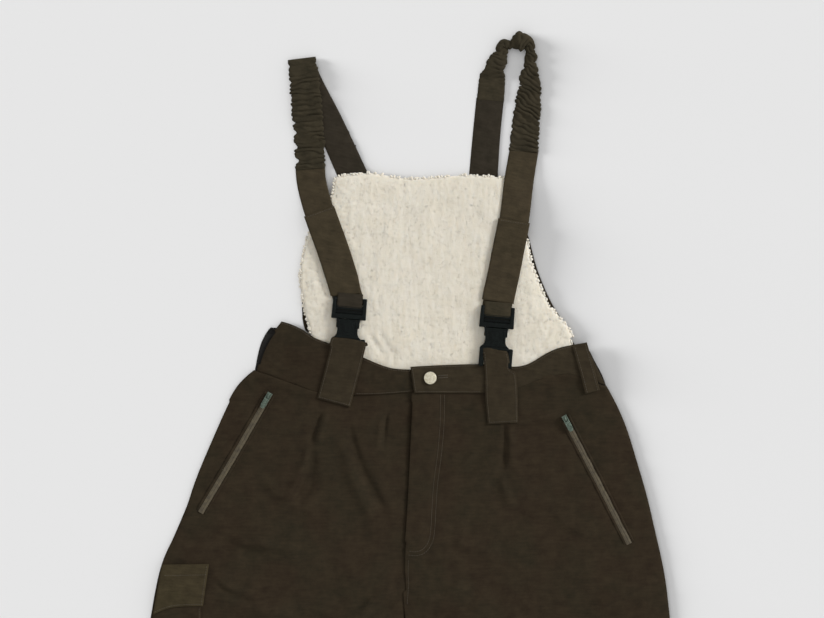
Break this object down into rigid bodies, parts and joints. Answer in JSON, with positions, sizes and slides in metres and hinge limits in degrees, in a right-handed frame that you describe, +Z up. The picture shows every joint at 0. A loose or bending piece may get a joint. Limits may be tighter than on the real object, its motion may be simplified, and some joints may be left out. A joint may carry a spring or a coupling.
{
  "type": "hunting bib trousers laid flat",
  "caption": "Men's warm hunting trousers with a high pile-lined back bib, buckled elastic braces and slanted zip pockets, laid flat on their back.",
  "frame": {"origin": "on the floor, in the middle of the garment's footprint", "axes": "+Z up from the floor, +Y from the hems towards the braces, +X to the wearer's left (the viewer's right)"},
  "size_m": [0.742, 1.5761, 0.0211],
  "materials": {
    "moleskin": "brushed cotton moleskin, dark brown with an olive cast",
    "brace_cloth": "the same moleskin, gathered on elastic at the shoulders",
    "sherpa": "cream sherpa pile",
    "zip_tape": "woven zip tape with a nylon coil",
    "buckle_plastic": "moulded black acetal",
    "zip_metal": "grey-green lacquered die-cast zinc",
    "button_metal": "pale nickel, plain"
  },
  "bodies": {
    "root": {"leg_back_left": "moleskin", "leg_back_right": "moleskin", "leg_front_left": "moleskin", "leg_front_right": "moleskin", "waistband_back": "moleskin", "waistband_front_left": "moleskin", "waistband_front_right": "moleskin", "bib_back": "moleskin", "belt_loop_left": "moleskin", "tab_left": "moleskin", "tab_right": "moleskin", "cargo_pocket_right": "moleskin", "cargo_flap_right": "moleskin", "strap_back_left": "brace_cloth", "strap_back_right": "brace_cloth", "strap_elastic_left": "brace_cloth", "strap_elastic_right": "brace_cloth", "strap_front_left": "brace_cloth", "strap_front_right": "brace_cloth", "strap_fold_left": "brace_cloth", "strap_fold_right": "brace_cloth", "bib_lining": "sherpa", "pocket_zip_left": "zip_tape", "pocket_zip_right": "zip_tape", "buckle_male_left": "buckle_plastic", "buckle_male_right": "buckle_plastic", "buckle_female_left": "buckle_plastic", "buckle_female_right": "buckle_plastic", "zip_slider_left": "zip_metal", "zip_slider_right": "zip_metal", "button_waist": "button_metal"},
    "pull_left": {"zip_pull_left": "zip_metal"},
    "pull_right": {"zip_pull_right": "zip_metal"}
  },
  "joints": [
    {"name": "pull_left_swing", "type": "hinge", "parent": "root", "child": "pull_left", "pos_m": [0.20539, 0.27834, 0.01342], "axis": [-0.8854, -0.4648, 0], "range_deg": [0, 150]},
    {"name": "pull_right_swing", "type": "hinge", "parent": "root", "child": "pull_right", "pos_m": [-0.18449, 0.3084, 0.0125], "axis": [-0.8676, 0.4973, 0], "range_deg": [0, 150]}
  ]
}
